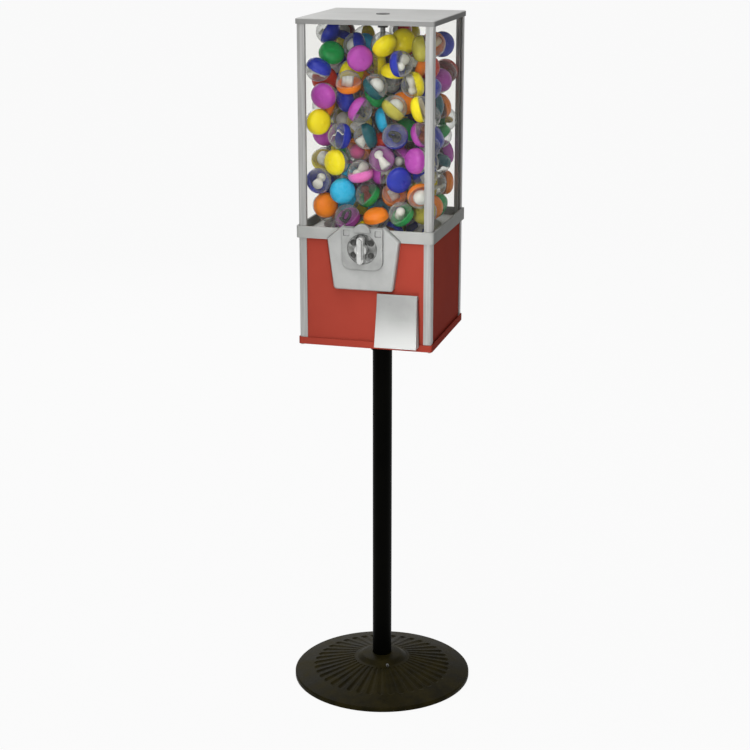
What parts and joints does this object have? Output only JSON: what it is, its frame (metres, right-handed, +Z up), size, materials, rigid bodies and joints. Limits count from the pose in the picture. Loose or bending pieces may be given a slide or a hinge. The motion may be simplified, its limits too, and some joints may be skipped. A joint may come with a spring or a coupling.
{
  "type": "capsule vending machine on a pole stand",
  "caption": "Square glazed capsule vending machine with a hand-turned coin mechanism, pocketed vending wheel and chute door, on a pole stand with a fluted round base.",
  "frame": {"origin": "on the floor, at the centre of the round base, under the pole", "axes": "+Z up, front of the machine with the knob and door towards -Y, +X to the right seen from the front"},
  "size_m": [0.356, 0.356, 1.333],
  "materials": {
    "cast_base": "enamelled, semi-gloss, dark olive black",
    "black_paint": "gloss black enamel",
    "dark_steel": "black oxide",
    "red_paint": "gloss red enamel",
    "aluminium": "satin anodised extrusion",
    "silver_collar": "satin silver",
    "clear_sheet": "clear plastic glazing",
    "grey_lid": "smooth light grey paint",
    "seal_rubber": "matt",
    "lock_dark": "dark plated",
    "zinc_steel": "zinc plated",
    "grey_plastic": "moulded",
    "white_plastic": "moulded",
    "bristle": "nylon bristles",
    "cast_silver": "die cast, silver painted",
    "machine_steel": "machined",
    "capsule_clear": "clear moulded plastic",
    "capsule_warm": "glossy moulded cap",
    "capsule_cool": "glossy moulded cap"
  },
  "bodies": {
    "cabinet": {"stand_base": "cast_base", "set_screws": "dark_steel", "pole": "black_paint", "mounting_flange": "black_paint", "flange_bolts": "zinc_steel", "flange_washers": "zinc_steel", "flange_nuts": "zinc_steel", "base_pan": "red_paint", "front_panel": "red_paint", "left_panel": "red_paint", "right_panel": "red_paint", "back_panel": "red_paint", "front_left_post": "aluminium", "front_right_post": "aluminium", "back_left_post": "aluminium", "back_right_post": "aluminium", "post_screws": "zinc_steel", "collar": "silver_collar", "front_window": "clear_sheet", "left_window": "clear_sheet", "right_window": "clear_sheet", "back_window": "clear_sheet", "centre_rod": "zinc_steel", "rod_nuts": "zinc_steel", "hopper": "grey_plastic", "gear_cover": "grey_plastic", "wheel_deck": "grey_plastic", "deck_standoffs": "zinc_steel", "outlet_guard": "grey_plastic", "guard_brush": "bristle", "chute": "zinc_steel", "chute_frame": "cast_silver", "door_hinge_pin": "zinc_steel", "mech_plate": "cast_silver", "mech_face": "cast_silver", "mech_backplate": "zinc_steel", "mech_screws": "zinc_steel", "pawl_pin": "zinc_steel", "coin_slide": "zinc_steel", "coin_box": "zinc_steel", "capsule_domes": "capsule_clear", "capsule_caps_warm": "capsule_warm", "capsule_caps_cool": "capsule_cool"},
    "vending_wheel_body": {"vending_wheel": "white_plastic", "crown_gear": "white_plastic", "wheel_bush": "white_plastic"},
    "knob_body": {"knob": "cast_silver", "knob_shaft": "machine_steel", "knob_pin": "zinc_steel", "coin_carrier": "cast_silver", "ratchet_wheel": "machine_steel", "shaft_clip": "zinc_steel", "drive_pinion": "machine_steel"},
    "chute_door_body": {"chute_door": "cast_silver"},
    "lid_body": {"lid": "grey_lid", "lid_seal": "seal_rubber", "lock_barrel": "lock_dark", "lock_nut": "zinc_steel"},
    "lock_plug_body": {"lock_plug": "lock_dark"},
    "pawl_body": {"ratchet_pawl": "machine_steel"}
  },
  "joints": [
    {"name": "wheel_turn", "type": "hinge", "parent": "cabinet", "child": "vending_wheel_body", "pos_m": [0, 0, 0.877], "axis": [0, 0, 1], "continuous": true},
    {"name": "knob_turn", "type": "hinge", "parent": "cabinet", "child": "knob_body", "pos_m": [0, -0.12, 0.919], "axis": [0, 1, 0], "continuous": true},
    {"name": "door_swing", "type": "hinge", "parent": "cabinet", "child": "chute_door_body", "pos_m": [0.0645, -0.131, 0.829], "axis": [-1, 0, 0], "range_deg": [0, 75]},
    {"name": "lid_lift", "type": "slide", "parent": "cabinet", "child": "lid_body", "axis": [0, 0, 1], "range_m": [0, 0.15]},
    {"name": "key_turn", "type": "hinge", "parent": "lid_body", "child": "lock_plug_body", "pos_m": [0, 0, 1.327], "axis": [0, 0, 1], "range_deg": [0, 90]},
    {"name": "pawl_swing", "type": "hinge", "parent": "cabinet", "child": "pawl_body", "pos_m": [0.027, -0.114, 0.905], "axis": [0, 1, 0], "range_deg": [0, 10], "stiffness_Nm_per_rad": 0.02}
  ],
  "couplings": [
    {"joint": "knob_turn", "follows": "wheel_turn", "ratio": -6}
  ]
}
